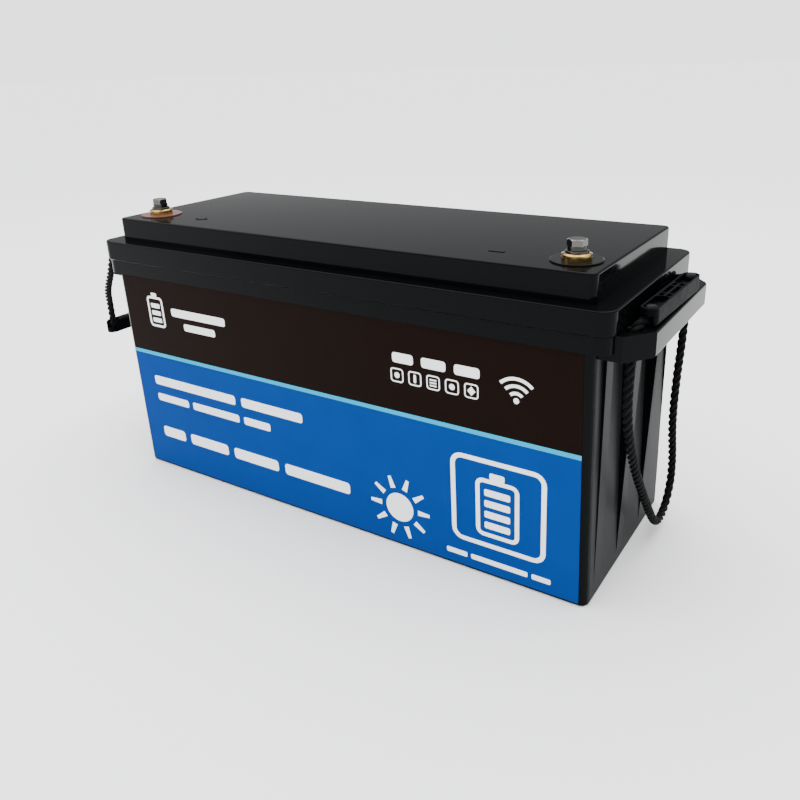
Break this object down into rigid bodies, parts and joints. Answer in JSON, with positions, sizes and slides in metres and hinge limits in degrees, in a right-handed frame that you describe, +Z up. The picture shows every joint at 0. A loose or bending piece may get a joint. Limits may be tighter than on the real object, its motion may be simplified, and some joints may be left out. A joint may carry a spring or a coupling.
{
  "type": "deep cycle battery",
  "caption": "Sealed black deep cycle battery with rope carrying handles, screwed brass terminals, a printed front label and a banded pack of prismatic cells.",
  "frame": {"origin": "middle of the case's underside, on the plane it rests on", "axes": "+X along the case towards the negative terminal's end, -Y towards the labelled front, +Z up"},
  "size_m": [0.543, 0.172, 0.2411],
  "materials": {
    "case_plastic": "polished black moulding with soft waviness",
    "label_film": "printed film, dark above and blue below",
    "ring_red": "moulded colour ring",
    "ring_black": "moulded dark ring",
    "insert_brass": "turned brass",
    "bolt_steel": "bright plated steel",
    "washer_steel": "plated steel",
    "rope_fibre": "twisted synthetic rope",
    "rope_end": "fused rope end",
    "grip_plastic": "satin black moulding",
    "seal_rubber": "soft seal",
    "cell_can": "blue film over an aluminium can",
    "spacer_board": "epoxy glass sheet",
    "plate_aluminium": "milled plate",
    "strap_steel": "bright steel band",
    "busbar": "bare bar",
    "copper": "copper, tinned at its ends",
    "board_green": "lacquered circuit board",
    "component_black": "moulded component bodies",
    "lead_black": "flexible insulation",
    "harness_sleeve": "braided sleeve",
    "harness_wire": "thin insulated wires",
    "foam_pad": "closed-cell foam",
    "clear_sheet": "insulating sheet"
  },
  "bodies": {
    "case": {"jar": "case_plastic", "lid": "case_plastic", "front_label": "label_film", "positive_ring": "ring_red", "negative_ring": "ring_black", "positive_insert": "insert_brass", "negative_insert": "insert_brass", "terminal_seals": "seal_rubber", "terminal_nuts": "bolt_steel", "left_rope_loop": "rope_fibre", "cell_spacers": "spacer_board", "end_plates": "plate_aluminium", "pack_straps": "strap_steel", "bus_bars": "busbar", "post_nuts": "bolt_steel", "positive_link": "copper", "positive_spacer": "copper", "bms_heatsink": "plate_aluminium", "bms_board": "board_green", "bms_standoffs": "insert_brass", "bms_screws": "bolt_steel", "bms_parts": "component_black", "wireless_module": "washer_steel", "bms_posts": "copper", "loom_plug": "clear_sheet", "battery_lead": "lead_black", "output_lead": "lead_black", "cable_lugs": "copper", "lug_screws": "bolt_steel", "sense_loom": "harness_sleeve", "sense_wires": "harness_wire", "base_pad": "foam_pad", "side_pads": "foam_pad", "insulation_sheet": "clear_sheet", "top_pads": "foam_pad", "cell_1": "cell_can", "cell_2": "cell_can", "cell_3": "cell_can", "cell_4": "cell_can", "cell_5": "cell_can", "cell_6": "cell_can", "cell_7": "cell_can", "cell_8": "cell_can"},
    "right_handle": {"right_grip": "grip_plastic", "right_rope": "rope_fibre", "right_rope_ends": "rope_end"},
    "left_handle": {"left_grip": "grip_plastic", "left_rope_legs": "rope_fibre", "left_rope_ends": "rope_end"},
    "positive_washers": {"positive_flat_washer": "washer_steel", "positive_spring_washer": "washer_steel"},
    "positive_bolt": {"positive_bolt": "bolt_steel"},
    "negative_washers": {"negative_flat_washer": "washer_steel", "negative_spring_washer": "washer_steel"},
    "negative_bolt": {"negative_bolt": "bolt_steel"}
  },
  "joints": [
    {"name": "right_handle_lift", "type": "slide", "parent": "case", "child": "right_handle", "axis": [0, 0, 1], "range_m": [0, 0.025]},
    {"name": "left_handle_swing", "type": "hinge", "parent": "case", "child": "left_handle", "pos_m": [-0.2335, 0, 0.2005], "axis": [0, 1, 0], "range_deg": [0, 90]},
    {"name": "positive_washer_lift", "type": "slide", "parent": "case", "child": "positive_washers", "axis": [0, 0, 1], "range_m": [0, 0.01]},
    {"name": "positive_bolt_turn", "type": "hinge", "parent": "positive_washers", "child": "positive_bolt", "pos_m": [-0.1875, -0.049, 0.2326], "axis": [0, 0, 1], "range_deg": [0, 2880]},
    {"name": "negative_washer_lift", "type": "slide", "parent": "case", "child": "negative_washers", "axis": [0, 0, 1], "range_m": [0, 0.01]},
    {"name": "negative_bolt_turn", "type": "hinge", "parent": "negative_washers", "child": "negative_bolt", "pos_m": [0.1875, -0.049, 0.2326], "axis": [0, 0, 1], "range_deg": [0, 2880]}
  ],
  "couplings": [
    {"joint": "positive_bolt_turn", "follows": "positive_washer_lift", "rad_per_m": 5026.5},
    {"joint": "negative_bolt_turn", "follows": "negative_washer_lift", "rad_per_m": 5026.5}
  ]
}
